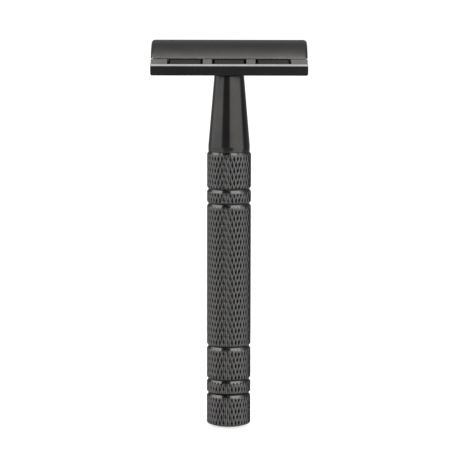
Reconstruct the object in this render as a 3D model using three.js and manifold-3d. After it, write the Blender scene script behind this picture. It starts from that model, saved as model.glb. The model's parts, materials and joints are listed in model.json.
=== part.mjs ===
// Twist-to-open double-edge safety razor, closed and locked.
//
// Millimetres, +Z up. The origin is the centre of the knob's flat base, the handle stands
// along +Z, and the head lies along X with its front edge towards -Y.
//
// Turning the knob screws the push rod up the handle. The rod carries a crosshead, and each
// end of the crosshead holds a bracket with two hinge pins, on which the doors swing open.

import * as THREE from "three";
import { mergeVertices } from "three/addons/utils/BufferGeometryUtils.js";
import Module from "manifold-3d";

const wasm = await Module();
wasm.setup();

// ---------------------------------------------------------------- driving dimensions

// How far cutting blocks run past what they cut, and how finely small corners are drawn
const CUT_MARGIN = 1;
const CORNER_STEPS = 5;

// Handle
const GRIP_RADIUS = 6.1;
const KNOB_PARTING = 9;
const NECK_PARTING = 76.7;
const RUNNING_GAP = 0.05;
const RING_GROOVES = [13, 22.35, 62.25, 66.3];
const GROOVE_DEPTH = 0.46;
const GROOVE_HALF_WIDTH = 0.68;
const BARREL_BORE_RADIUS = 3.6;
const RETAINER_BORE_RADIUS = 4.6;
const RETAINER_BORE_TOP = 14;
const GRIP_SIDES = 36;

// The knob's end is domed round a flat base, which reaches BASE_DROP below the zero of the heights here
const BASE_DROP = 0.43;
const BASE_FLAT_RADIUS = 2.9;
const BASE_DOME_RADIUS = 15.6;
const BASE_RIM = { radius: 5.85, height: 0.35 };

// Neck
const NECK_TOP = 97.9;
const NECK_TOP_RADIUS = 4.1;
const NECK_FOOT_RADIUS = 5.75;
const CONE_FOOT = 78.3;
const NECK_BEVEL = 0.2;
const NECK_FOOT_BEVEL = 0.15;
const SPIGOT_LENGTH = 4.7;
const NECK_SIDES = 64;

// Push rod and what it runs in
const ROD_RADIUS = 1.6;
const ROD_BOTTOM = 8;
const ROD_CHAMFER = 0.3;
const ROD_TIP_RADIUS = 0.9;
const ROD_TIP_PROUD = 0.2;
const ROD_SIDES = 24;
const PRESS_GAP = 0.05;
const BUSH_BOTTOM = 40;
const BUSH_LENGTH = 6;
const COLLAR_BORE_RADIUS = 1.8;
const COLLAR_HUB_RADIUS = 2.95;
const COLLAR_HUB_LENGTH = 2.1;
const COLLAR_FLANGE = 0.3;

// Knob inside the barrel
const SLEEVE_RADIUS = 3.4;
const SLEEVE_BORE_RADIUS = 1.7;
const SLEEVE_BOTTOM = 2;
const SLEEVE_TOP = 24;
const SLEEVE_CLEARANCE = 0.2;
const RETAINER_BOTTOM = 9.5;
const RETAINER_TOP = 12;
const SPANNER_NOTCH = { halfWidth: 0.5, depth: 0.7 };
const WASHER_BOTTOM = 12.15;
const WASHER_THICKNESS = 0.2;
const WASHER_WAVE = 0.08;
const WASHER_WAVES = 3;
const SNAP_RING_BOTTOM = 12.55;
const SNAP_RING_THICKNESS = 0.6;
const SNAP_RING_RADIUS = 4.1;
const SNAP_RING_OPENING = 1.8;
const SNAP_GROOVE_RADIUS = 3;

// Head. Its heights are measured from CAP_LINE, the height of the doors' lower edges.
const CAP_LINE = 103;
const GUARD_HALF_LENGTH = 21.5;
const GUARD_HALF_DEPTH = 12.1;
const GUARD_BOTTOM = -4.5;
const GUARD_CORNER_RADIUS = 0.55;
const SHEET = 0.9;
const BED_CROWN = 2.6;
const BED_RADIUS = 18.7;
const BED_END = 9.85;
const BED_UNDER_END = 9.75;
const BED_SEGMENTS = 20;
const BED_HALF_LENGTH = 20.1;
const SHOULDER = { y: 10.6, z: -0.1 };
const SLOPE_FOOT = { y: 11.85, z: -1.35 };
const SLOPE_HALF_LENGTH = 21.37;
const EDGE_BEVEL_FOOT = -1.91;
const SLOT_INNER = 9.6;
const SLOT_OUTER = 11.78;
const SLOT_BOTTOM = -2.4;
const CENTRE_SLOT = [-4.7, 4.7];
const SIDE_SLOT = [7.15, 16.9];
const RELIEF_WIDTH = 0.7;
const RELIEF_INNER = 8.2;
const TONGUE_Z = [-2.6, -0.2];
const TONGUE_LEAN = 0.5;
const EAR_NOTCH = { x: 18.8, yInner: 6.7, yOuter: BED_END };
const ROD_HOLE_RADIUS = 2.2;
const ROD_HOLE_SIDES = 32;
const RIDGE = { x: [8, 15], halfWidth: 0.55, height: 0.5 };

// Doors
const DOOR_HALF_LENGTH = 21.4;
const DOOR_CREST = 4.52;
const DOOR_RADIUS = 14.85;
const DOOR_EDGE = 10.6;
const DOOR_INNER_CREST = 3.45;
const DOOR_INNER_RADIUS = 15.8;
const DOOR_END_WALL = 0.8;
const DOOR_CORNER_RADIUS = 1;
const DOOR_SEAM_GAP = 0.12;
const DOOR_SIDES = 192;

// Hinges, at the four corners
const PIVOT = { y: 8.4, z: -2.4 };
const PIN_RADIUS = 0.55;
const PIN_GAP = 0.08;
const PIN_PROUD = 0.1;
const EAR_RADIUS = 1.1;
const EAR_X = [19, 19.9];
const EAR_STRAP_Y = [7.2, 9.2];
const EAR_STRAP_INSET = 0.3;
const BRACKET_X = [20.3, 21.2];
const BRACKET_ARM_RADIUS = 1.2;
const BRACKET_BOTTOM = -4.6;
const BRACKET_CORNER_RADIUS = 0.6;
const BRACKET_SEGMENTS = 10;
const BRACKET_BRIDGE_TOP = -3.3;
const BRACKET_ARM_INNER = 7.2;

// Crosshead
const CROSSHEAD_HALF_WIDTH = 2;
const CROSSHEAD_Z = [-4.6, -3.5];
const TENON_HALF_WIDTH = 1.2;
const TENON_Z = [-4.3, -3.7];
const FORK_SLOT_HALF_WIDTH = 2.15;
const FORK_TOP = 1.15;
const FORK_TENON = { x: 1.2, y: [2.4, 3.4], top: 2.15 };
const NUT_FLATS = 3.2;
const NUT_HEIGHT = 0.9;

// ---------------------------------------------------------------- finishes

function finish(color, roughness, metalness) {
  return new THREE.MeshStandardMaterial({ color, roughness, metalness });
}

const gunmetal = () => finish(0x2b2b2d, 0.3, 0.9);
const gunmetalSatin = () => finish(0x333335, 0.42, 0.9);
const steel = () => finish(0x9a9b9d, 0.35, 1);
const brass = () => finish(0xb08d4a, 0.38, 1);
const springSteel = () => finish(0x6f7378, 0.4, 1);

// ---------------------------------------------------------------- solids

/** A three.js geometry as a manifold-3d solid. */
function solid(geometry) {
  const bare = geometry.clone();
  bare.deleteAttribute("normal");
  bare.deleteAttribute("uv");
  const merged = mergeVertices(bare, 1e-4);
  const corners = merged.index.array;
  const kept = [];
  for (let i = 0; i < corners.length; i += 3) {
    const [a, b, c] = corners.subarray(i, i + 3);
    if (a !== b && b !== c && c !== a) kept.push(a, b, c);
  }
  const vertProperties = new Float32Array(merged.attributes.position.array);
  const triVerts = new Uint32Array(kept);
  return new wasm.Manifold(new wasm.Mesh({ numProp: 3, vertProperties, triVerts }));
}

/** A manifold-3d solid as a three.js geometry. */
function geometryOf(shape) {
  const mesh = shape.getMesh();
  const geometry = new THREE.BufferGeometry();
  geometry.setAttribute("position", new THREE.BufferAttribute(mesh.vertProperties, 3));
  geometry.setIndex(new THREE.BufferAttribute(mesh.triVerts, 1));
  geometry.computeVertexNormals();
  return geometry;
}

/** A block between two limits on each axis. */
function block([x0, x1], [y0, y1], [z0, z1]) {
  const box = new THREE.BoxGeometry(x1 - x0, y1 - y0, z1 - z0);
  box.translate((x0 + x1) / 2, (y0 + y1) / 2, (z0 + z1) / 2);
  return solid(box);
}

/** A block and its mirror image across Y = 0, as one solid. */
function blockPair(xLimits, [y0, y1], zLimits) {
  return block(xLimits, [y0, y1], zLimits).add(block(xLimits, [-y1, -y0], zLimits));
}

/** Limits along X, lowest first, for a stretch on one side of the middle. */
function spanX(side, from, to) {
  return side > 0 ? [from, to] : [-to, -from];
}

/** A closed [radius, height] outline turned about Z. */
function turned(outline, sides) {
  const points = outline.map(([r, z]) => new THREE.Vector2(r, z));
  const lathe = new THREE.LatheGeometry(points, sides);
  lathe.rotateX(Math.PI / 2);
  return solid(lathe);
}

/** A closed [radius, x] outline turned about the line along X at the given height. */
function turnedAboutX(outline, height, sides) {
  const points = outline.map(([r, x]) => new THREE.Vector2(r, x));
  const lathe = new THREE.LatheGeometry(points, sides);
  lathe.rotateZ(-Math.PI / 2);
  lathe.translate(0, 0, height);
  return solid(lathe);
}

/** A round bar along Z, centred on the origin. */
function barAlongZ(radius, length, sides) {
  return solid(new THREE.CylinderGeometry(radius, radius, length, sides).rotateX(Math.PI / 2));
}

/** A round bar along X. */
function barAlongX(radius, [x0, x1], y, z, sides) {
  const bar = new THREE.CylinderGeometry(radius, radius, x1 - x0, sides);
  bar.rotateZ(Math.PI / 2);
  bar.translate((x0 + x1) / 2, y, z);
  return solid(bar);
}

/** An outline in the Y-Z plane, pushed out along X. */
function plateAlongX(outline, [x0, x1], curveSegments = 8) {
  const plate = new THREE.ExtrudeGeometry(outline, {
    depth: x1 - x0,
    bevelEnabled: false,
    curveSegments,
  });
  const toX = new THREE.Matrix4().makeBasis(
    new THREE.Vector3(0, 1, 0),
    new THREE.Vector3(0, 0, 1),
    new THREE.Vector3(1, 0, 0),
  );
  plate.applyMatrix4(toX);
  plate.translate(x0, 0, 0);
  return solid(plate);
}

/** Points round an arc, from one angle to another, both in degrees. */
function arc([centreA, centreB], radius, from, to, steps) {
  const points = [];
  for (let i = 0; i <= steps; i += 1) {
    const angle = THREE.MathUtils.degToRad(from + ((to - from) * i) / steps);
    points.push([centreA + radius * Math.cos(angle), centreB + radius * Math.sin(angle)]);
  }
  return points;
}

/** A plain ring about Z. */
function ring(innerRadius, outerRadius, [z0, z1], sides) {
  const outline = [
    [innerRadius, z0],
    [outerRadius, z0],
    [outerRadius, z1],
    [innerRadius, z1],
    [innerRadius, z0],
  ];
  return turned(outline, sides);
}

/** A named sub-part. */
function part(name, shape, material) {
  const mesh = new THREE.Mesh(geometryOf(shape), material);
  mesh.name = name;
  return mesh;
}

// ---------------------------------------------------------------- handle

const GROOVE_FLOOR_RADIUS = GRIP_RADIUS - GROOVE_DEPTH;

function gripBarrel() {
  const bottom = KNOB_PARTING + RUNNING_GAP;
  const top = NECK_PARTING;
  const grooves = RING_GROOVES.flatMap((height) => [
    [GRIP_RADIUS, height - GROOVE_HALF_WIDTH],
    [GROOVE_FLOOR_RADIUS, height],
    [GRIP_RADIUS, height + GROOVE_HALF_WIDTH],
  ]);
  const outline = [
    [RETAINER_BORE_RADIUS, bottom],
    [GROOVE_FLOOR_RADIUS, bottom],
    [GRIP_RADIUS, KNOB_PARTING + GROOVE_HALF_WIDTH],
    ...grooves,
    [GRIP_RADIUS, top - GROOVE_HALF_WIDTH],
    [GROOVE_FLOOR_RADIUS, top],
    [BARREL_BORE_RADIUS, top],
    [BARREL_BORE_RADIUS, RETAINER_BORE_TOP],
    [RETAINER_BORE_RADIUS, RETAINER_BORE_TOP],
    [RETAINER_BORE_RADIUS, bottom],
  ];
  return part("grip_barrel", turned(outline, GRIP_SIDES), gunmetal());
}

function neckCone() {
  const shoulder = NECK_PARTING + PRESS_GAP;
  const spigotRadius = BARREL_BORE_RADIUS - PRESS_GAP;
  const spigotBottom = shoulder - SPIGOT_LENGTH;
  const socketRadius = COLLAR_HUB_RADIUS + PRESS_GAP;
  const socketBottom = NECK_TOP - COLLAR_HUB_LENGTH - PRESS_GAP;
  const outline = [
    [spigotRadius, spigotBottom],
    [spigotRadius, shoulder],
    [GROOVE_FLOOR_RADIUS, shoulder],
    [NECK_FOOT_RADIUS, shoulder + NECK_FOOT_BEVEL],
    [NECK_FOOT_RADIUS, CONE_FOOT],
    [NECK_TOP_RADIUS, NECK_TOP - NECK_BEVEL],
    [NECK_TOP_RADIUS - NECK_BEVEL, NECK_TOP],
    [socketRadius, NECK_TOP],
    [socketRadius, socketBottom],
    [COLLAR_BORE_RADIUS, socketBottom],
    [COLLAR_BORE_RADIUS, spigotBottom],
    [spigotRadius, spigotBottom],
  ];
  return part("neck_cone", turned(outline, NECK_SIDES), gunmetal());
}

/** Turned collar, slotted for the crosshead, with two tenons peened into the tray. */
function forkCollar() {
  const flangeBottom = NECK_TOP + PRESS_GAP;
  const flangeTop = flangeBottom + COLLAR_FLANGE;
  const top = CAP_LINE + FORK_TOP;
  const body = turned(
    [
      [COLLAR_BORE_RADIUS, flangeBottom - COLLAR_HUB_LENGTH],
      [COLLAR_HUB_RADIUS, flangeBottom - COLLAR_HUB_LENGTH],
      [COLLAR_HUB_RADIUS, flangeBottom],
      [NECK_TOP_RADIUS - NECK_BEVEL, flangeBottom],
      [NECK_TOP_RADIUS, flangeBottom + NECK_BEVEL],
      [NECK_TOP_RADIUS, top],
      [COLLAR_BORE_RADIUS, top],
      [COLLAR_BORE_RADIUS, flangeBottom - COLLAR_HUB_LENGTH],
    ],
    GRIP_SIDES,
  );
  const slot = block(
    [-GRIP_RADIUS, GRIP_RADIUS],
    [-FORK_SLOT_HALF_WIDTH, FORK_SLOT_HALF_WIDTH],
    [flangeTop, top + CUT_MARGIN],
  );
  const tenonZ = [top - CUT_MARGIN, CAP_LINE + FORK_TENON.top];
  const tenons = blockPair([-FORK_TENON.x, FORK_TENON.x], FORK_TENON.y, tenonZ);
  return part("fork_collar", body.subtract(slot).add(tenons), gunmetalSatin());
}

/** Pressed tray: curved blade bed, slotted slopes and upright guards, all of one sheet. */
function guardTray() {
  const bedCentre = BED_CROWN - BED_RADIUS;
  const bedEndAngle = Math.acos(BED_END / BED_RADIUS);
  const underRadius = BED_RADIUS - SHEET;
  const underAngle = Math.acos(BED_UNDER_END / underRadius);
  const underZ = bedCentre + underRadius * Math.sin(underAngle);
  const slopeUnder = SHOULDER.y - SHEET / 2;
  const guardBack = GUARD_HALF_DEPTH - SHEET;

  // One side of the outer face from the bed to the guard's foot, then back along the inner face.
  const outer = [
    [SHOULDER.y, SHOULDER.z],
    [SLOPE_FOOT.y, SLOPE_FOOT.z],
    [GUARD_HALF_DEPTH, EDGE_BEVEL_FOOT],
    [GUARD_HALF_DEPTH, GUARD_BOTTOM],
    [guardBack, GUARD_BOTTOM],
    [guardBack, underZ - (guardBack - slopeUnder)],
    [slopeUnder, underZ],
  ];
  const section = new THREE.Shape();
  section.absarc(0, bedCentre, BED_RADIUS, bedEndAngle, Math.PI - bedEndAngle, false);
  for (const [y, z] of outer) {
    section.lineTo(-y, z);
  }
  section.absarc(0, bedCentre, underRadius, Math.PI - underAngle, underAngle, true);
  for (const [y, z] of outer.toReversed()) {
    section.lineTo(y, z);
  }
  let tray = plateAlongX(section, [-GUARD_HALF_LENGTH, GUARD_HALF_LENGTH], BED_SEGMENTS);

  // Lather slots through the slopes. Behind each the bed's edge is folded down as a leaning
  // tongue, with a relief notch at both ends of the fold.
  const high = BED_CROWN + CUT_MARGIN;
  const low = GUARD_BOTTOM - CUT_MARGIN;
  const slotZ = [SLOT_BOTTOM, high];
  const [tongueBottom, tongueTop] = TONGUE_Z;
  const tongueOutline = (side) => {
    const outline = new THREE.Shape();
    outline.moveTo(side * (SLOT_INNER - SHEET), tongueTop);
    outline.lineTo(side * SLOT_INNER, tongueTop);
    outline.lineTo(side * (SLOT_INNER + TONGUE_LEAN), tongueBottom);
    outline.lineTo(side * (SLOT_INNER + TONGUE_LEAN - SHEET), tongueBottom);
    return outline;
  };
  const [sideStart, sideEnd] = SIDE_SLOT;
  for (const [start, end] of [CENTRE_SLOT, SIDE_SLOT, [-sideEnd, -sideStart]]) {
    const tongueX = [start + RELIEF_WIDTH, end - RELIEF_WIDTH];
    const slot = blockPair([start, end], [SLOT_INNER, SLOT_OUTER], slotZ);
    const startRelief = blockPair([start, tongueX[0]], [RELIEF_INNER, SLOT_INNER], slotZ);
    const endRelief = blockPair([tongueX[1], end], [RELIEF_INNER, SLOT_INNER], slotZ);
    tray = tray.subtract(slot).subtract(startRelief).subtract(endRelief);
    for (const side of [-1, 1]) {
      tray = tray.add(plateAlongX(tongueOutline(side), tongueX));
    }
  }

  // At both ends the bed stops short of the bracket and is notched for the doors' ears,
  // the slope is set back a little, and the guard's lower corners are round.
  const past = GUARD_HALF_LENGTH + CUT_MARGIN;
  const { x: notchX, yInner, yOuter } = EAR_NOTCH;
  const cornerX = GUARD_HALF_LENGTH - GUARD_CORNER_RADIUS;
  const cornerZ = GUARD_BOTTOM + GUARD_CORNER_RADIUS;
  const width = [-GUARD_HALF_DEPTH - CUT_MARGIN, GUARD_HALF_DEPTH + CUT_MARGIN];
  for (const side of [-1, 1]) {
    const bedEndCut = block(spanX(side, BED_HALF_LENGTH, past), [-yOuter, yOuter], [low, high]);
    const notches = blockPair(spanX(side, notchX, past), [yInner, yOuter], [low, high]);
    const slopeLimits = [yOuter - CUT_MARGIN, SLOPE_FOOT.y];
    const slopeCut = blockPair(spanX(side, SLOPE_HALF_LENGTH, past), slopeLimits, [SLOPE_FOOT.z, high]);
    const round = new THREE.CylinderGeometry(
      GUARD_CORNER_RADIUS,
      GUARD_CORNER_RADIUS,
      width[1] - width[0] + CUT_MARGIN,
      ROD_SIDES,
    );
    round.translate(side * cornerX, 0, cornerZ);
    const corner = block(spanX(side, cornerX, past), width, [low, cornerZ]).subtract(solid(round));
    tray = tray.subtract(bedEndCut).subtract(notches).subtract(slopeCut).subtract(corner);
  }

  // Holes for the fork's tenons and the rod's nut.
  const tenonY = [FORK_TENON.y[0] - PRESS_GAP, FORK_TENON.y[1] + PRESS_GAP];
  const tenonX = [-FORK_TENON.x - PRESS_GAP, FORK_TENON.x + PRESS_GAP];
  tray = tray.subtract(blockPair(tenonX, tenonY, [0, high]));
  tray = tray.subtract(barAlongZ(ROD_HOLE_RADIUS, 2 * high, ROD_HOLE_SIDES));

  // Ridges that enter the slot of the blade and centre it.
  const ridgeY = [-RIDGE.halfWidth, RIDGE.halfWidth];
  const ridgeZ = [BED_CROWN - SHEET / 2, BED_CROWN + RIDGE.height];
  for (const side of [-1, 1]) {
    tray = tray.add(block(spanX(side, ...RIDGE.x), ridgeY, ridgeZ));
  }

  const mesh = part("guard_tray", tray, gunmetalSatin());
  mesh.position.z = CAP_LINE;
  return mesh;
}

function rodGuideBush() {
  const outer = BARREL_BORE_RADIUS - PRESS_GAP;
  const shape = ring(COLLAR_BORE_RADIUS, outer, [0, BUSH_LENGTH], GRIP_SIDES);
  const mesh = part("rod_guide_bush", shape, brass());
  mesh.position.z = BUSH_BOTTOM;
  return mesh;
}

/** Ring screwed into the foot of the barrel, with two notches for a pin spanner. */
function knobRetainer() {
  const inner = SLEEVE_RADIUS + SLEEVE_CLEARANCE;
  const outer = RETAINER_BORE_RADIUS - PRESS_GAP;
  const shape = ring(inner, outer, [RETAINER_BOTTOM, RETAINER_TOP], GRIP_SIDES);
  const { halfWidth, depth } = SPANNER_NOTCH;
  const notchZ = [RETAINER_BOTTOM - CUT_MARGIN, RETAINER_BOTTOM + depth];
  const notches = block([-halfWidth, halfWidth], [-outer, outer], notchZ);
  return part("knob_retainer", shape.subtract(notches), brass());
}

function waveWasher() {
  const inner = SLEEVE_RADIUS + SLEEVE_CLEARANCE;
  const outer = RETAINER_BORE_RADIUS - SLEEVE_CLEARANCE;
  const outline = [
    [inner, 0],
    [outer, 0],
    [outer, WASHER_THICKNESS],
    [inner, WASHER_THICKNESS],
    [inner, 0],
  ];
  const points = outline.map(([r, z]) => new THREE.Vector2(r, z));
  const washer = new THREE.LatheGeometry(points, GRIP_SIDES);
  washer.rotateX(Math.PI / 2);
  const place = washer.attributes.position;
  for (let i = 0; i < place.count; i += 1) {
    const turn = Math.atan2(place.getY(i), place.getX(i));
    place.setZ(i, place.getZ(i) + WASHER_WAVE * (1 + Math.sin(WASHER_WAVES * turn)));
  }
  const mesh = part("wave_washer", solid(washer), springSteel());
  mesh.position.z = WASHER_BOTTOM;
  return mesh;
}

// ---------------------------------------------------------------- knob

function knobGrip() {
  const top = KNOB_PARTING - RUNNING_GAP;
  const socket = SLEEVE_RADIUS + PRESS_GAP;
  const steepness = (radius) => Math.asin(radius / BASE_DOME_RADIUS);
  const flatAngle = steepness(BASE_FLAT_RADIUS);
  const domeCentre = [0, BASE_DOME_RADIUS * Math.cos(flatAngle) - BASE_DROP];
  const domeAngles = [flatAngle, steepness(BASE_RIM.radius)].map(
    (angle) => THREE.MathUtils.radToDeg(angle) - 90,
  );
  const dome = arc(domeCentre, BASE_DOME_RADIUS, ...domeAngles, CORNER_STEPS);
  const outline = [
    [0, -BASE_DROP],
    ...dome,
    [GRIP_RADIUS, dome.at(-1)[1] + BASE_RIM.height],
    [GRIP_RADIUS, KNOB_PARTING - GROOVE_HALF_WIDTH],
    [GROOVE_FLOOR_RADIUS, top],
    [socket, top],
    [socket, SLEEVE_BOTTOM],
    [0, SLEEVE_BOTTOM],
  ];
  return part("knob_grip", turned(outline, GRIP_SIDES), gunmetal());
}

/** Sleeve nut pressed into the knob. The push rod's screw end runs in it. */
function knobSleeve() {
  const bottom = SLEEVE_BOTTOM + PRESS_GAP;
  const grooveBottom = SNAP_RING_BOTTOM - PRESS_GAP;
  const grooveTop = SNAP_RING_BOTTOM + SNAP_RING_THICKNESS + PRESS_GAP;
  const outline = [
    [SLEEVE_BORE_RADIUS, bottom],
    [SLEEVE_RADIUS, bottom],
    [SLEEVE_RADIUS, grooveBottom],
    [SNAP_GROOVE_RADIUS, grooveBottom],
    [SNAP_GROOVE_RADIUS, grooveTop],
    [SLEEVE_RADIUS, grooveTop],
    [SLEEVE_RADIUS, SLEEVE_TOP],
    [SLEEVE_BORE_RADIUS, SLEEVE_TOP],
    [SLEEVE_BORE_RADIUS, bottom],
  ];
  return part("knob_sleeve", turned(outline, GRIP_SIDES), brass());
}

function snapRing() {
  const inner = SNAP_GROOVE_RADIUS + PRESS_GAP;
  const shape = ring(inner, SNAP_RING_RADIUS, [0, SNAP_RING_THICKNESS], GRIP_SIDES);
  const openingX = [-SNAP_RING_OPENING / 2, SNAP_RING_OPENING / 2];
  const opening = block(openingX, [0, GRIP_RADIUS], [-CUT_MARGIN, CUT_MARGIN]);
  const mesh = part("snap_ring", shape.subtract(opening), springSteel());
  mesh.position.z = SNAP_RING_BOTTOM;
  return mesh;
}

// ---------------------------------------------------------------- lifting gear

function pushRod() {
  const shoulder = CAP_LINE + CROSSHEAD_Z[0];
  const tip = CAP_LINE + CROSSHEAD_Z[1] + NUT_HEIGHT + ROD_TIP_PROUD;
  const outline = [
    [0, ROD_BOTTOM],
    [ROD_RADIUS - ROD_CHAMFER, ROD_BOTTOM],
    [ROD_RADIUS, ROD_BOTTOM + ROD_CHAMFER],
    [ROD_RADIUS, shoulder],
    [ROD_TIP_RADIUS, shoulder],
    [ROD_TIP_RADIUS, tip],
    [0, tip],
  ];
  return part("push_rod", turned(outline, ROD_SIDES), steel());
}

function crosshead() {
  const inner = BRACKET_X[0];
  const outer = BRACKET_X[1];
  const bar = block([-inner, inner], [-CROSSHEAD_HALF_WIDTH, CROSSHEAD_HALF_WIDTH], CROSSHEAD_Z);
  const tenon = block([-outer, outer], [-TENON_HALF_WIDTH, TENON_HALF_WIDTH], TENON_Z);
  const rodHole = barAlongZ(ROD_TIP_RADIUS + PRESS_GAP, -3 * CROSSHEAD_Z[0], ROD_SIDES);
  const mesh = part("crosshead", bar.add(tenon).subtract(rodHole), steel());
  mesh.position.z = CAP_LINE;
  return mesh;
}

function crossheadNut() {
  const hexagon = barAlongZ(NUT_FLATS / Math.sqrt(3), NUT_HEIGHT, 6);
  const hole = barAlongZ(ROD_TIP_RADIUS + PRESS_GAP, 2 * NUT_HEIGHT, ROD_SIDES);
  const mesh = part("crosshead_nut", hexagon.subtract(hole), steel());
  mesh.position.z = CAP_LINE + CROSSHEAD_Z[1] + NUT_HEIGHT / 2;
  return mesh;
}

/** U-shaped end plate that carries one hinge pin of each door. */
function bracket(name, turn) {
  const { y, z } = PIVOT;
  const armOuter = y + BRACKET_ARM_RADIUS;
  const cornerY = armOuter - BRACKET_CORNER_RADIUS;
  const cornerZ = BRACKET_BOTTOM + BRACKET_CORNER_RADIUS;
  const outline = new THREE.Shape();
  outline.moveTo(-armOuter, z);
  outline.lineTo(-armOuter, cornerZ);
  outline.quadraticCurveTo(-armOuter, BRACKET_BOTTOM, -cornerY, BRACKET_BOTTOM);
  outline.lineTo(cornerY, BRACKET_BOTTOM);
  outline.quadraticCurveTo(armOuter, BRACKET_BOTTOM, armOuter, cornerZ);
  outline.lineTo(armOuter, z);
  outline.absarc(y, z, BRACKET_ARM_RADIUS, 0, Math.PI, false);
  outline.lineTo(BRACKET_ARM_INNER, BRACKET_BRIDGE_TOP);
  outline.lineTo(-BRACKET_ARM_INNER, BRACKET_BRIDGE_TOP);
  outline.lineTo(-BRACKET_ARM_INNER, z);
  outline.absarc(-y, z, BRACKET_ARM_RADIUS, 0, Math.PI, false);
  let plate = plateAlongX(outline, BRACKET_X, BRACKET_SEGMENTS);
  const through = [BRACKET_X[0] - CUT_MARGIN, BRACKET_X[1] + CUT_MARGIN];
  for (const side of [-1, 1]) {
    plate = plate.subtract(barAlongX(PIN_RADIUS + PRESS_GAP, through, side * y, z, ROD_SIDES));
  }
  const tenonY = [-TENON_HALF_WIDTH - PRESS_GAP, TENON_HALF_WIDTH + PRESS_GAP];
  const tenonZ = [TENON_Z[0] - PRESS_GAP, TENON_Z[1] + PRESS_GAP];
  const mesh = part(name, plate.subtract(block(through, tenonY, tenonZ)), gunmetalSatin());
  mesh.rotation.z = turn;
  mesh.position.z = CAP_LINE;
  return mesh;
}

function hingePin(name, xSide, ySide) {
  const inner = EAR_X[0] - PIN_PROUD;
  const outer = BRACKET_X[1];
  const middle = (inner + outer) / 2;
  const pin = barAlongX(PIN_RADIUS, [inner - middle, outer - middle], 0, 0, ROD_SIDES);
  const mesh = part(name, pin, steel());
  mesh.position.set(xSide * middle, ySide * PIVOT.y, CAP_LINE + PIVOT.z);
  return mesh;
}

// ---------------------------------------------------------------- doors

/** Half of the cap: a curved shell with closed ends and an ear at each end for its pin. */
function door(name, turn) {
  const outerCentre = DOOR_CREST - DOOR_RADIUS;
  const innerCentre = DOOR_INNER_CREST - DOOR_INNER_RADIUS;
  const innerHalf = DOOR_HALF_LENGTH - DOOR_END_WALL;
  const innerCorner = DOOR_CORNER_RADIUS - DOOR_END_WALL;

  const drum = (radius, halfLength, corner, centre) => {
    const edgeX = halfLength - corner;
    const edgeR = radius - corner;
    const outline = [
      [0, -halfLength],
      ...arc([edgeR, -edgeX], corner, -90, 0, CORNER_STEPS),
      ...arc([edgeR, edgeX], corner, 0, 90, CORNER_STEPS),
      [0, halfLength],
    ];
    return turnedAboutX(outline, centre, DOOR_SIDES);
  };

  const outer = drum(DOOR_RADIUS, DOOR_HALF_LENGTH, DOOR_CORNER_RADIUS, outerCentre);
  const inner = drum(DOOR_INNER_RADIUS, innerHalf, innerCorner, innerCentre);
  const length = [-DOOR_HALF_LENGTH - CUT_MARGIN, DOOR_HALF_LENGTH + CUT_MARGIN];
  const half = block(length, [DOOR_SEAM_GAP, DOOR_EDGE], [0, DOOR_CREST + CUT_MARGIN]);
  let shell = outer.subtract(inner).intersect(half);

  const coreRadius = DOOR_RADIUS - EAR_STRAP_INSET;
  const coreHalf = DOOR_HALF_LENGTH - EAR_STRAP_INSET;
  const core = drum(coreRadius, coreHalf, DOOR_CORNER_RADIUS, outerCentre);
  const holeRadius = PIN_RADIUS + PIN_GAP;
  for (const side of [-1, 1]) {
    const earX = spanX(side, ...EAR_X);
    const strap = block(earX, EAR_STRAP_Y, [PIVOT.z, DOOR_CREST]).intersect(core);
    const boss = barAlongX(EAR_RADIUS, earX, PIVOT.y, PIVOT.z, ROD_SIDES);
    const holeX = [earX[0] - CUT_MARGIN, earX[1] + CUT_MARGIN];
    const hole = barAlongX(holeRadius, holeX, PIVOT.y, PIVOT.z, ROD_SIDES);
    shell = shell.add(strap.add(boss).subtract(hole));
  }
  const mesh = part(name, shell, gunmetalSatin());
  mesh.rotation.z = turn;
  mesh.position.z = CAP_LINE;
  return mesh;
}

// ---------------------------------------------------------------- assembly

const handle = new THREE.Group();
handle.add(gripBarrel(), neckCone(), forkCollar(), guardTray());
handle.add(rodGuideBush(), knobRetainer(), waveWasher());

const knob = new THREE.Group();
knob.add(knobGrip(), knobSleeve(), snapRing());

const liftingGear = new THREE.Group();
liftingGear.add(pushRod(), crosshead(), crossheadNut());
liftingGear.add(bracket("bracket_right", 0), bracket("bracket_left", Math.PI));
for (const [xName, xSide] of [["left", -1], ["right", 1]]) {
  for (const [yName, ySide] of [["front", -1], ["rear", 1]]) {
    liftingGear.add(hingePin(`hinge_pin_${yName}_${xName}`, xSide, ySide));
  }
}

const doors = new THREE.Group();
doors.add(door("front_door", Math.PI), door("rear_door", 0));

const razor = new THREE.Group();
razor.add(handle, knob, liftingGear, doors);
razor.position.z = BASE_DROP;

export default razor;
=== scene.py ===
"""Looks, light and camera for the safety razor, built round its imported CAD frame.

Everything is in metres in the frame's own axes: +Z up the handle, X along the head, -Y to the front.
"""

import json
import math

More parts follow.
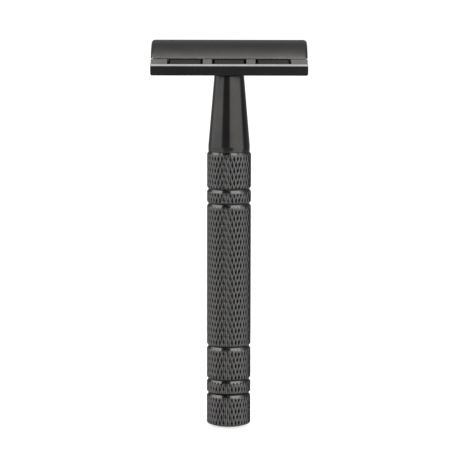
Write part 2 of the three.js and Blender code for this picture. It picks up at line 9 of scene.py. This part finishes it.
import bmesh
import bpy
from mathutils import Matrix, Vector


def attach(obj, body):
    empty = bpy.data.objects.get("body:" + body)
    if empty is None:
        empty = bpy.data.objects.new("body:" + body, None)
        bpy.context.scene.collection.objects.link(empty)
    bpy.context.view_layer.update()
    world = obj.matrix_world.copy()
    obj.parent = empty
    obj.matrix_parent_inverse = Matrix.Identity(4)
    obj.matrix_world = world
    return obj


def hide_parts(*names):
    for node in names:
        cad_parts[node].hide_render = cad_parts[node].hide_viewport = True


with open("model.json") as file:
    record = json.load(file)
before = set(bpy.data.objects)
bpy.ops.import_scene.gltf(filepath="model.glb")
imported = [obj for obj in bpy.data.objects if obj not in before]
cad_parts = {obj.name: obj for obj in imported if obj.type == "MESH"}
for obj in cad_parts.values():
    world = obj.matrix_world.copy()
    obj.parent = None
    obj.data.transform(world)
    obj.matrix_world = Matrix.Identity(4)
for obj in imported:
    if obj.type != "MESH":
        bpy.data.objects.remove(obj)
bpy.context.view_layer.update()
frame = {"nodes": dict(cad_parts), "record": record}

MM = 0.001
DEGREES_PER_RADIAN = 180 / math.pi
WHITE = (1, 1, 1, 1)

# Knurling: two crossed sets of ridges wind round the grip and leave diamond pits between them. Each
# set has KNURL_STARTS ridges, KNURL_PITCH apart in height, and the mesh takes KNURL_STEPS steps from
# one to the next. A pit's floor is flat over KNURL_FLAT of that way. A ridge would rise to RIDGE_GAIN
# times the pits' depth, but ends at the grip's radius. The pits fade out over KNURL_LIP below a ring
# groove. Points of a grip's outline within OUTSIDE_DEPTH of its radius are on its outside.
GRIP_RADIUS = 6.1 * MM
OUTSIDE_DEPTH = 0.5 * MM
KNURL_STARTS = 35
KNURL_PITCH = 3.3 * MM
KNURL_DEPTH = 0.2 * MM
KNURL_STEPS = 5
KNURL_FLAT = 0.1
RIDGE_GAIN = 1.2
KNURL_LIP = (0.15 * MM, 0.45 * MM)

# Steps round a turned surface.
TURNED_SEGMENTS = 240

# Points this close together are one point, and points this close to a plane lie on it.
ON_PLANE = 1e-6

# Sharp edges stay sharp above these angles.
TURNED_CREASE = math.radians(38)
KNURL_CREASE = math.radians(16)
ROUNDED_CREASE = math.radians(20)
PLATE_CREASE = math.radians(6)

# CAD edges that turn by more than EDGE_ANGLE are rounded by the radius for their material slot. The
# other slots belong to the turned nodes, which finer meshes replace.
EDGE_ANGLE = math.radians(30)
EDGE_SEGMENTS = 2
EDGE_RADIUS = {
    "gunmetal_satin": 0.06 * MM,
    "rod_steel": 0.06 * MM,
    "brass_fitting": 0.08 * MM,
    "spring_steel": 0.03 * MM,
}

# Finishes. Stains mix colour and stain, and the grain's fine lines vary roughness between its two
# values. Edges carry a painted highlight, up to the gain below times as bright, by each finish's
# share. An edge is where the normal, rounded over the radius below, agrees less and less with the
# true one.
STAIN_SCALE = 180.0
STAIN_DETAIL = 4.0
STAIN_RANGE = (0.3, 0.7)
GRAIN_DETAIL = 2.0
GRAIN_RANGE = (0.25, 0.75)
TURNED_GRAIN = (300, 300, 22000)
DRAWN_GRAIN = (900, 30000, 30000)
HIGHLIGHT_GAIN = 1.9
HIGHLIGHT_RADIUS = 0.12 * MM
HIGHLIGHT_SAMPLES = 4
HIGHLIGHT_AGREEMENT = (0.995, 0.90)
GUNMETAL = (0.052, 0.052, 0.053, 1)
GUNMETAL_STAIN = (0.060, 0.059, 0.058, 1)
FINISHES = {
    "gunmetal_gloss": dict(
        colour=GUNMETAL,
        stain=GUNMETAL_STAIN,
        roughness=(0.13, 0.19),
        grain=TURNED_GRAIN,
        edge_highlight=0.25,
    ),
    # Painted light: the same gunmetal, its colour and stain lifted by about a quarter to brighten the
    # knurl. Groove walls keep GROOVE_SHADE of it, about the plain gunmetal's colour.
    "gunmetal_knurled": dict(
        colour=(0.066, 0.066, 0.067, 1),
        stain=(0.077, 0.075, 0.073, 1),
        roughness=(0.11, 0.17),
        grain=TURNED_GRAIN,
        edge_highlight=1.0,
        painted_pit_shade=0.05,
    ),
    "gunmetal_satin": dict(
        colour=GUNMETAL,
        stain=GUNMETAL_STAIN,
        roughness=(0.17, 0.25),
        grain=DRAWN_GRAIN,
        edge_highlight=0.6,
    ),
    "gunmetal_plate": dict(
        colour=GUNMETAL,
        stain=GUNMETAL_STAIN,
        roughness=(0.10, 0.15),
        grain=DRAWN_GRAIN,
        edge_highlight=0.6,
    ),
    "rod_steel": dict(
        colour=(0.46, 0.46, 0.47, 1),
        stain=(0.40, 0.40, 0.41, 1),
        roughness=(0.2, 0.34),
        grain=TURNED_GRAIN,
        edge_highlight=0.4,
    ),
    "brass_fitting": dict(
        colour=(0.62, 0.43, 0.17, 1),
        stain=(0.52, 0.35, 0.14, 1),
        roughness=(0.22, 0.36),
        grain=TURNED_GRAIN,
        edge_highlight=0.4,
    ),
    "spring_steel": dict(
        colour=(0.28, 0.29, 0.31, 1),
        stain=(0.22, 0.23, 0.26, 1),
        roughness=(0.25, 0.4),
        grain=TURNED_GRAIN,
        edge_highlight=0.4,
    ),
}

# Knurled shading. The pits get a painted shade, from dark to plain through PIT_DEPTHS, and the
# ridges a painted highlight, from plain to bright through RIDGE_DEPTHS: depths below the grip's
# radius, as shares of KNURL_DEPTH. Where the upright part of the normal is past GROOVE_SLOPE, a
# face is a ring groove's wall or a grip's end, and keeps GROOVE_SHADE of the colour.
PIT_DEPTHS = (0.85, 0.3)
RIDGE_DEPTHS = (0.35, 0.02)
GROOVE_SLOPE = (0.3, 0.42)
GROOVE_SHADE = 0.75

# Camera: lens and sensor are in millimetres.
CAMERA_TARGET = Vector((0.78 * MM, 0, 54.43 * MM))
CAMERA_DISTANCE = 0.8056
CAMERA_TILT = math.radians(7.3)
CAMERA_ROLL = math.radians(-0.12)
CAMERA_LENS = 224.5
CAMERA_SENSOR = 36.0
CAMERA_NEAREST = 0.01

# Floor: its own glow makes it as bright as the backdrop.
FLOOR_RADIUS = 0.16
FLOOR_SEGMENTS = 128
FLOOR_COLOUR = (0.3, 0.3, 0.3, 1)
FLOOR_ROUGHNESS = 0.8
FLOOR_GLOW = 0.75

# Studio, by azimuth (0 is towards the camera, + to the right) and elevation in degrees, and radiance.
# The overhead light starts at OVERHEAD_FRONT, measured up from the camera's side, and fades towards
# the back. Light is tinted from cool to warm as its radiance passes through WARM_ABOVE.
BACKDROP_RADIANCE = 1.15
STUDIO_BASE = 0.21
COOL_LIGHT = (0.965, 0.985, 1.06, 1)
WARM_LIGHT = (1.015, 1.0, 0.975, 1)
WARM_ABOVE = (0.25, 0.45)
OVERHEAD_RADIANCE = 4.4
OVERHEAD_FRONT = 78
OVERHEAD_BLUR = 5
OVERHEAD_FADE = 18

# Later panels are painted over earlier ones. Each fades in over its four blurs (west, east, bottom
# and top), and its radiance follows elevation from the first to the second value of its grade.
STUDIO_PANELS = [
    # Below the horizon.
    dict(azimuth=(-200, 200), elevation=(-95, 0), blurs=(1, 1, 3, 3),
         grade=(-60, -15), radiance=(0.8, 0.27)),
    # Left box, and its brighter upper part.
    dict(azimuth=(-134, -38), elevation=(-50, 44), blurs=(30, 8, 6, 6),
         grade=(7, 28), radiance=(1.45, 3.4)),
    dict(azimuth=(-120, -50), elevation=(22, 66), blurs=(12, 8, 12, 6),
         grade=(24, 50), radiance=(3.0, 5.2)),
    # Right box, and its brighter upper part.
    dict(azimuth=(1, 90), elevation=(-50, 30), blurs=(8, 8, 6, 8),
         grade=(4, 26), radiance=(1.55, 4.2)),
    dict(azimuth=(12, 86), elevation=(20, 79), blurs=(6, 8, 8, 6),
         grade=(20, 50), radiance=(4.0, 5.4)),
    # Foot of the left box, and the gap under the camera.
    dict(azimuth=(-134, -28), elevation=(-50, -2), blurs=(30, 12, 6, 3),
         grade=(-30, 0), radiance=(1.15, 1.15)),
    dict(azimuth=(-32, 30), elevation=(-34, -2), blurs=(10, 12, 3, 3),
         grade=(-30, 0), radiance=(0.38, 0.38)),
    # Dim card and bright strip over the camera.
    dict(azimuth=(-25, 25), elevation=(8, 27), blurs=(8, 8, 4, 4),
         grade=(8, 27), radiance=(0.78, 0.78)),
    dict(azimuth=(-14, 14), elevation=(29, 52), blurs=(5, 5, 4, 4),
         grade=(29, 52), radiance=(9.2, 9.2)),
]


# ---------------------------------------------------------------- node trees


class Graph:
    """Writes a node tree as nested calls: inputs are numbers, colours or other nodes' sockets."""

    def __init__(self, tree):
        tree.nodes.clear()
        self.tree = tree

    def node(self, kind, inputs, **settings):
        made = self.tree.nodes.new(kind)
        for name, value in settings.items():
            setattr(made, name, value)
        for key, value in inputs.items():
            if isinstance(value, bpy.types.NodeSocket):
                self.tree.links.new(value, made.inputs[key])
            else:
                made.inputs[key].default_value = value
        return made

    def math(self, operation, *values):
        return self.node("ShaderNodeMath", dict(enumerate(values)), operation=operation).outputs[0]

    def ramp(self, value, start, end, low=0.0, high=1.0, kind="SMOOTHSTEP"):
        """Goes from low to high while value goes from start to end."""
        inputs = {"Value": value, "From Min": start, "From Max": end, "To Min": low, "To Max": high}
        return self.node("ShaderNodeMapRange", inputs, interpolation_type=kind).outputs[0]

    def mix(self, share, low, high):
        """A number between low and high."""
        inputs = {"Factor": share, "A": low, "B": high}
        return self.node("ShaderNodeMix", inputs, data_type="FLOAT").outputs[0]

    def mix_colour(self, share, low, high):
        """A colour between low and high."""
        made = self.node("ShaderNodeMix", {0: share, 6: low, 7: high}, data_type="RGBA")
        return made.outputs[2]

    def noise(self, place, scale, detail, stretch=(1, 1, 1)):
        """Noise from 0 to 1, stretched along an axis where stretch is small."""
        spread = self.node("ShaderNodeMapping", {"Vector": place, "Scale": stretch}).outputs[0]
        inputs = {"Vector": spread, "Scale": scale, "Detail": detail}
        return self.node("ShaderNodeTexNoise", inputs).outputs["Fac"]


# ---------------------------------------------------------------- materials


def shaded(colour, share):
    """The colour times share, with its alpha kept at 1."""
    return [min(1.0, c * share) for c in colour[:3]] + [1]


def knurled_base(graph, place, base, colour, painted_pit_shade):
    """Base colour with painted shade in pits and darker groove walls, and each point's ridge
    highlight.
    """
    x, y, z = graph.node("ShaderNodeSeparateXYZ", {0: place}).outputs
    squares = graph.math("ADD", graph.math("POWER", x, 2.0), graph.math("POWER", y, 2.0))
    radius = graph.math("SQRT", squares)
    normal = graph.node("ShaderNodeNewGeometry", {}).outputs["True Normal"]
    slope = graph.math("ABSOLUTE", graph.node("ShaderNodeSeparateXYZ", {0: normal}).outputs[2])
    above_pits = graph.ramp(radius, *(GRIP_RADIUS - depth * KNURL_DEPTH for depth in PIT_DEPTHS))
    # Painted shade: the pits darken towards their floors.
    base = graph.mix_colour(above_pits, shaded(colour, painted_pit_shade), base)
    base = graph.mix_colour(graph.ramp(slope, *GROOVE_SLOPE), base, shaded(colour, GROOVE_SHADE))
    # Painted highlight: how far each point is a ridge top that gets a brighter colour.
    ridges = graph.ramp(radius, *(GRIP_RADIUS - depth * KNURL_DEPTH for depth in RIDGE_DEPTHS))
    return base, ridges


def rounded_edges(graph):
    """How near each point is to an edge, from 0 to 1."""
    rounded = graph.node("ShaderNodeBevel", {"Radius": HIGHLIGHT_RADIUS}, samples=HIGHLIGHT_SAMPLES).outputs[0]
    true = graph.node("ShaderNodeNewGeometry", {}).outputs["Normal"]
    product = graph.node("ShaderNodeVectorMath", {0: rounded, 1: true}, operation="DOT_PRODUCT")
    return graph.ramp(product.outputs["Value"], *HIGHLIGHT_AGREEMENT)


def metal(name, colour, stain, roughness, grain, edge_highlight, painted_pit_shade=1.0):
    """A bare or coated metal: slightly stained, with a fine grain, and painted highlights on edges.

    On the knurled grips the pits are darkened to a painted shade, the finish's share of the colour,
    and the painted highlight goes on the ridges instead of the edges.
    """
    material = bpy.data.materials.new(name)
    material.use_nodes = True
    graph = Graph(material.node_tree)
    place = graph.node("ShaderNodeTexCoord", {}).outputs["Object"]
    stains = graph.noise(place, STAIN_SCALE, STAIN_DETAIL)
    lines = graph.noise(place, 1.0, GRAIN_DETAIL, grain)
    base = graph.mix_colour(graph.ramp(stains, *STAIN_RANGE), colour, stain)
    if painted_pit_shade < 1:
        base, edge = knurled_base(graph, place, base, colour, painted_pit_shade)
    else:
        edge = rounded_edges(graph)
    # Painted highlight: edges, or the ridges on knurled grips, are brighter in colour.
    highlighted = graph.mix_colour(graph.math("MULTIPLY", edge, edge_highlight), base, shaded(colour, HIGHLIGHT_GAIN))
    uneven = graph.mix(graph.ramp(lines, *GRAIN_RANGE), *roughness)
    inputs = {"Base Color": highlighted, "Metallic": 1.0, "Roughness": uneven}
    shader = graph.node("ShaderNodeBsdfPrincipled", inputs)
    graph.node("ShaderNodeOutputMaterial", {"Surface": shader.outputs[0]})
    return material


# ---------------------------------------------------------------- meshes


def new_object(name, mesh):
    made = bpy.data.objects.new(name, mesh)
    bpy.context.scene.collection.objects.link(made)
    return made


def evaluated_mesh(obj):
    """The mesh of obj after its modifiers."""
    graph = bpy.context.evaluated_depsgraph_get()
    return bpy.data.meshes.new_from_object(obj.evaluated_get(graph))


def turned_outline(node):
    """The closed outline, as (radius, height) points in order, of a turned CAD node."""
    work = bmesh.new()
    work.from_mesh(frame["nodes"][node].data)
    bmesh.ops.remove_doubles(work, verts=work.verts, dist=ON_PLANE)
    on_plane = [v for v in work.verts if abs(v.co.y) < ON_PLANE and v.co.x > -ON_PLANE]
    neighbours = {v: [] for v in on_plane}
    for edge in work.edges:
        first, second = edge.verts
        if first in neighbours and second in neighbours:
            neighbours[first].append(second)
            neighbours[second].append(first)
    here = min(on_plane, key=lambda v: (v.co.x, v.co.z))
    outline, seen = [], set()
    while here is not None:
        outline.append((max(here.co.x, 0.0), here.co.z))
        seen.add(here)
        here = next((v for v in neighbours[here] if v not in seen), None)
    work.free()
    return outline


def spun_mesh(name, outline, segments):
    """Turns an outline round the Z axis."""
    count = len(outline)
    points, faces = [], []
    for k in range(segments):
        turn = 2 * math.pi * k / segments
        points += [(r * math.cos(turn), r * math.sin(turn), z) for r, z in outline]
        following = (k + 1) % segments
        for i in range(count):
            j = (i + 1) % count
            faces.append((k * count + i, following * count + i, following * count + j, k * count + j))
    mesh = bpy.data.meshes.new(name)
    mesh.from_pydata(points, [], faces)
    work = bmesh.new()
    work.from_mesh(mesh)
    bmesh.ops.remove_doubles(work, verts=work.verts, dist=ON_PLANE)
    bmesh.ops.recalc_face_normals(work, faces=work.faces)
    work.to_mesh(mesh)
    work.free()
    return mesh


def ridge_height(steps):
    """The height, from 0 to 1, of one set of ridges at this many mesh steps across them."""
    away = abs((steps / KNURL_STEPS + 0.5) % 1 - 0.5) * 2
    return min(1.0, max(0.0, 1 - away / (1 - KNURL_FLAT)) * RIDGE_GAIN)


def pit_share(height, lips):
    """The share of their depth that pits keep at this height, under the nearest lip above."""
    fade_start, fade_end = KNURL_LIP
    near = min([lip - height for lip in lips if lip > height - ON_PLANE] or [fade_end])
    return min(1.0, max(0.0, (near - fade_start) / (fade_end - fade_start)))


def knurl_mesh(name, low, high, lips):
    """A solid bar with diamond knurling from low to high, which fades out under each of the lips.

    Its points lie where two sets of helices cross: i and j count the steps along each set, so every
    ridge follows a row of points, and each diamond keeps straight edges.
    """
    rise = KNURL_PITCH / (2 * KNURL_STEPS)
    around = 2 * KNURL_STARTS * KNURL_STEPS
    levels = math.ceil((high - low) / rise)
    points, index = [], {}
    for s in range(levels + 1):
        height = low + s * rise
        for t in range(s % 2, around, 2):
            i, j = (s + t) // 2, (t - s) // 2
            pit = 1 - max(ridge_height(i), ridge_height(j))
            reach = GRIP_RADIUS - KNURL_DEPTH * pit * pit_share(height, lips)
            turn = 2 * math.pi * t / around
            index[s, t] = len(points)
            points.append((reach * math.cos(turn), reach * math.sin(turn), height))
    faces = []
    for s in range(levels - 1):
        for t in range(s % 2, around, 2):
            right, left = (t + 1) % around, (t - 1) % around
            faces.append((index[s, t], index[s + 1, right], index[s + 2, t], index[s + 1, left]))
    for s, inner, outwards in ((0, 1, -rise), (levels, levels - 1, rise)):
        centre = len(points)
        points.append((0, 0, low + s * rise + outwards))
        for t in range(s % 2, around, 2):
            between = index[inner, (t + 1) % around]
            following = index[s, (t + 2) % around]
            fans = [(index[s, t], centre, following), (index[s, t], following, between)]
            faces += [tuple(reversed(fan)) for fan in fans] if outwards > 0 else fans
    mesh = bpy.data.meshes.new(name)
    mesh.from_pydata(points, [], faces)
    return mesh


def intersection(name, first, second):
    """The solid that two meshes share."""
    body, cutter = new_object(name, first), new_object(name + "_cutter", second)
    cutting = body.modifiers.new("shared", "BOOLEAN")
    cutting.operation = "INTERSECT"
    cutting.solver = "MANIFOLD"
    cutting.object = cutter
    mesh = evaluated_mesh(body)
    bpy.data.objects.remove(body)
    bpy.data.objects.remove(cutter)
    return mesh


def replace_node(name, mesh, node, body, material, crease):
    """Puts a finer mesh in a CAD node's place."""
    mesh.shade_smooth()
    mesh.set_sharp_from_angle(angle=crease)
    made = new_object(name, mesh)
    made.data.materials.clear()
    made.data.materials.append(materials[material])
    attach(made, body)
    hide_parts(node)
    return made


def add_knurled(name, node, body):
    """A turned and knurled grip: the knurling and the turned blank meet in what both hold."""
    outline = turned_outline(node)
    heights = [z for r, z in outline]
    outside = sorted((z, r) for r, z in outline if r > GRIP_RADIUS - OUTSIDE_DEPTH)
    lips = [z for (z, r), (_, following) in zip(outside, outside[1:]) if following < r]
    knurl = knurl_mesh(name, min(heights) - KNURL_PITCH, max(heights) + KNURL_PITCH, lips)
    blank = spun_mesh(name + "_blank", outline, TURNED_SEGMENTS)
    mesh = intersection(name, knurl, blank)
    return replace_node(name, mesh, node, body, "gunmetal_knurled", KNURL_CREASE)


def add_neck():
    outline = turned_outline("neck_cone")
    mesh = spun_mesh("neck", outline, TURNED_SEGMENTS)
    return replace_node("neck", mesh, "neck_cone", "handle", "gunmetal_gloss", TURNED_CREASE)


def make_smooth_by_angle(name, limit):
    """Geometry nodes that shade a mesh smooth, except across edges that turn by more than limit."""
    tree = bpy.data.node_groups.new(name, "GeometryNodeTree")
    tree.interface.new_socket("Geometry", in_out="INPUT", socket_type="NodeSocketGeometry")
    tree.interface.new_socket("Geometry", in_out="OUTPUT", socket_type="NodeSocketGeometry")
    graph = Graph(tree)
    mesh = graph.node("NodeGroupInput", {}).outputs[0]
    turn = graph.node("GeometryNodeInputMeshEdgeAngle", {}).outputs["Unsigned Angle"]
    sharp = graph.math("GREATER_THAN", turn, limit)
    faces = {"Geometry": mesh, "Shade Smooth": True}
    smooth = graph.node("GeometryNodeSetShadeSmooth", faces).outputs[0]
    edges = {"Geometry": smooth, "Selection": sharp, "Shade Smooth": False}
    creased = graph.node("GeometryNodeSetShadeSmooth", edges, domain="EDGE").outputs[0]
    graph.node("NodeGroupOutput", {0: creased})
    return tree


def finish_node(node, material, edge_radius, shading_tree):
    """Keeps a CAD node, with its edges broken and its curves shaded smooth."""
    obj = frame["nodes"][node]
    mesh = obj.data
    if "custom_normal" in mesh.attributes:
        mesh.attributes.remove(mesh.attributes["custom_normal"])
    mesh.shade_smooth()
    mesh.materials.clear()
    mesh.materials.append(materials[material])
    weld = obj.modifiers.new("weld", "WELD")
    weld.merge_threshold = ON_PLANE
    bevel = obj.modifiers.new("broken_edges", "BEVEL")
    bevel.width = edge_radius
    bevel.segments = EDGE_SEGMENTS
    bevel.limit_method = "ANGLE"
    bevel.angle_limit = EDGE_ANGLE
    bevel.use_clamp_overlap = False
    shading = obj.modifiers.new("shading", "NODES")
    shading.node_group = shading_tree
    return obj


# ---------------------------------------------------------------- studio


def add_world():
    """A white studio: soft panels of light to both sides and overhead, with dark gaps between them."""
    world = bpy.data.worlds.new("studio")
    bpy.context.scene.world = world
    world.use_nodes = True
    graph = Graph(world.node_tree)
    way = graph.node("ShaderNodeTexCoord", {}).outputs["Generated"]
    x, y, z = graph.node("ShaderNodeSeparateXYZ", {0: way}).outputs
    forward = graph.math("MULTIPLY", y, -1.0)
    azimuth = graph.math("MULTIPLY", graph.math("ARCTAN2", x, forward), DEGREES_PER_RADIAN)
    elevation = graph.math("MULTIPLY", graph.math("ARCSINE", z), DEGREES_PER_RADIAN)
    pitch = graph.math("MULTIPLY", graph.math("ARCTAN2", z, forward), DEGREES_PER_RADIAN)
    past = graph.math("MAXIMUM", graph.math("SUBTRACT", pitch, OVERHEAD_FRONT), 0.0)
    fade = graph.math("EXPONENT", graph.math("DIVIDE", past, -OVERHEAD_FADE))
    front = graph.ramp(pitch, OVERHEAD_FRONT - OVERHEAD_BLUR, OVERHEAD_FRONT, 0.0, OVERHEAD_RADIANCE)
    overhead = graph.math("MULTIPLY", fade, front)
    light = graph.math("ADD", overhead, STUDIO_BASE)
    for panel in STUDIO_PANELS:
        (west, east), (bottom, top) = panel["azimuth"], panel["elevation"]
        west_blur, east_blur, bottom_blur, top_blur = panel["blurs"]
        mask = graph.ramp(azimuth, west, west + west_blur)
        mask = graph.math("MULTIPLY", mask, graph.ramp(azimuth, east, east - east_blur))
        mask = graph.math("MULTIPLY", mask, graph.ramp(elevation, bottom, bottom + bottom_blur))
        mask = graph.math("MULTIPLY", mask, graph.ramp(elevation, top, top - top_blur))
        glow = graph.ramp(elevation, *panel["grade"], *panel["radiance"], kind="LINEAR")
        light = graph.mix(mask, light, glow)
    seen = graph.node("ShaderNodeLightPath", {}).outputs["Is Camera Ray"]
    strength = graph.mix(seen, light, BACKDROP_RADIANCE)
    tint = graph.mix_colour(graph.ramp(light, *WARM_ABOVE), COOL_LIGHT, WARM_LIGHT)
    colour = graph.mix_colour(seen, tint, WHITE)
    background = graph.node("ShaderNodeBackground", {"Color": colour, "Strength": strength})
    graph.node("ShaderNodeOutputWorld", {"Surface": background.outputs[0]})


def add_floor():
    """A plain round table top under the razor, which the metal doesn't reflect."""
    mesh = bpy.data.meshes.new("floor")
    work = bmesh.new()
    bmesh.ops.create_circle(work, cap_ends=True, radius=FLOOR_RADIUS, segments=FLOOR_SEGMENTS)
    work.to_mesh(mesh)
    work.free()
    floor = new_object("floor", mesh)
    floor.visible_glossy = False
    material = bpy.data.materials.new("floor")
    material.use_nodes = True
    graph = Graph(material.node_tree)
    inputs = {
        "Base Color": FLOOR_COLOUR,
        "Roughness": FLOOR_ROUGHNESS,
        "Emission Color": WHITE,
        "Emission Strength": FLOOR_GLOW,
    }
    shader = graph.node("ShaderNodeBsdfPrincipled", inputs)
    graph.node("ShaderNodeOutputMaterial", {"Surface": shader.outputs[0]})
    mesh.materials.append(material)


def add_camera():
    """Looks at the front of the razor from a little above."""
    data = bpy.data.cameras.new("camera")
    data.lens = CAMERA_LENS
    data.sensor_width = CAMERA_SENSOR
    data.clip_start = CAMERA_NEAREST
    camera = new_object("camera", data)
    back = Vector((0, -math.cos(CAMERA_TILT), math.sin(CAMERA_TILT)))
    camera.location = CAMERA_TARGET + back * CAMERA_DISTANCE
    camera.rotation_mode = "XYZ"
    camera.rotation_euler = (math.pi / 2 - CAMERA_TILT, CAMERA_ROLL, 0)
    bpy.context.scene.camera = camera


# ---------------------------------------------------------------- assembly

materials = {name: metal(name, **finish) for name, finish in FINISHES.items()}
rounded_shading = make_smooth_by_angle("rounded_shading", ROUNDED_CREASE)
plate_shading = make_smooth_by_angle("plate_shading", PLATE_CREASE)
add_camera()
add_world()
add_floor()

add_knurled("barrel", "grip_barrel", "handle")
add_knurled("knob", "knob_grip", "knob")
add_neck()

for part in frame["record"]["subparts"]:
    node, slot = part["node"], part["material_slot"]
    if node == "guard_tray":
        finish_node(node, "gunmetal_plate", EDGE_RADIUS[slot], plate_shading)
    elif slot in EDGE_RADIUS:
        finish_node(node, slot, EDGE_RADIUS[slot], rounded_shading)

bpy.context.scene.view_settings.view_transform = "Standard"
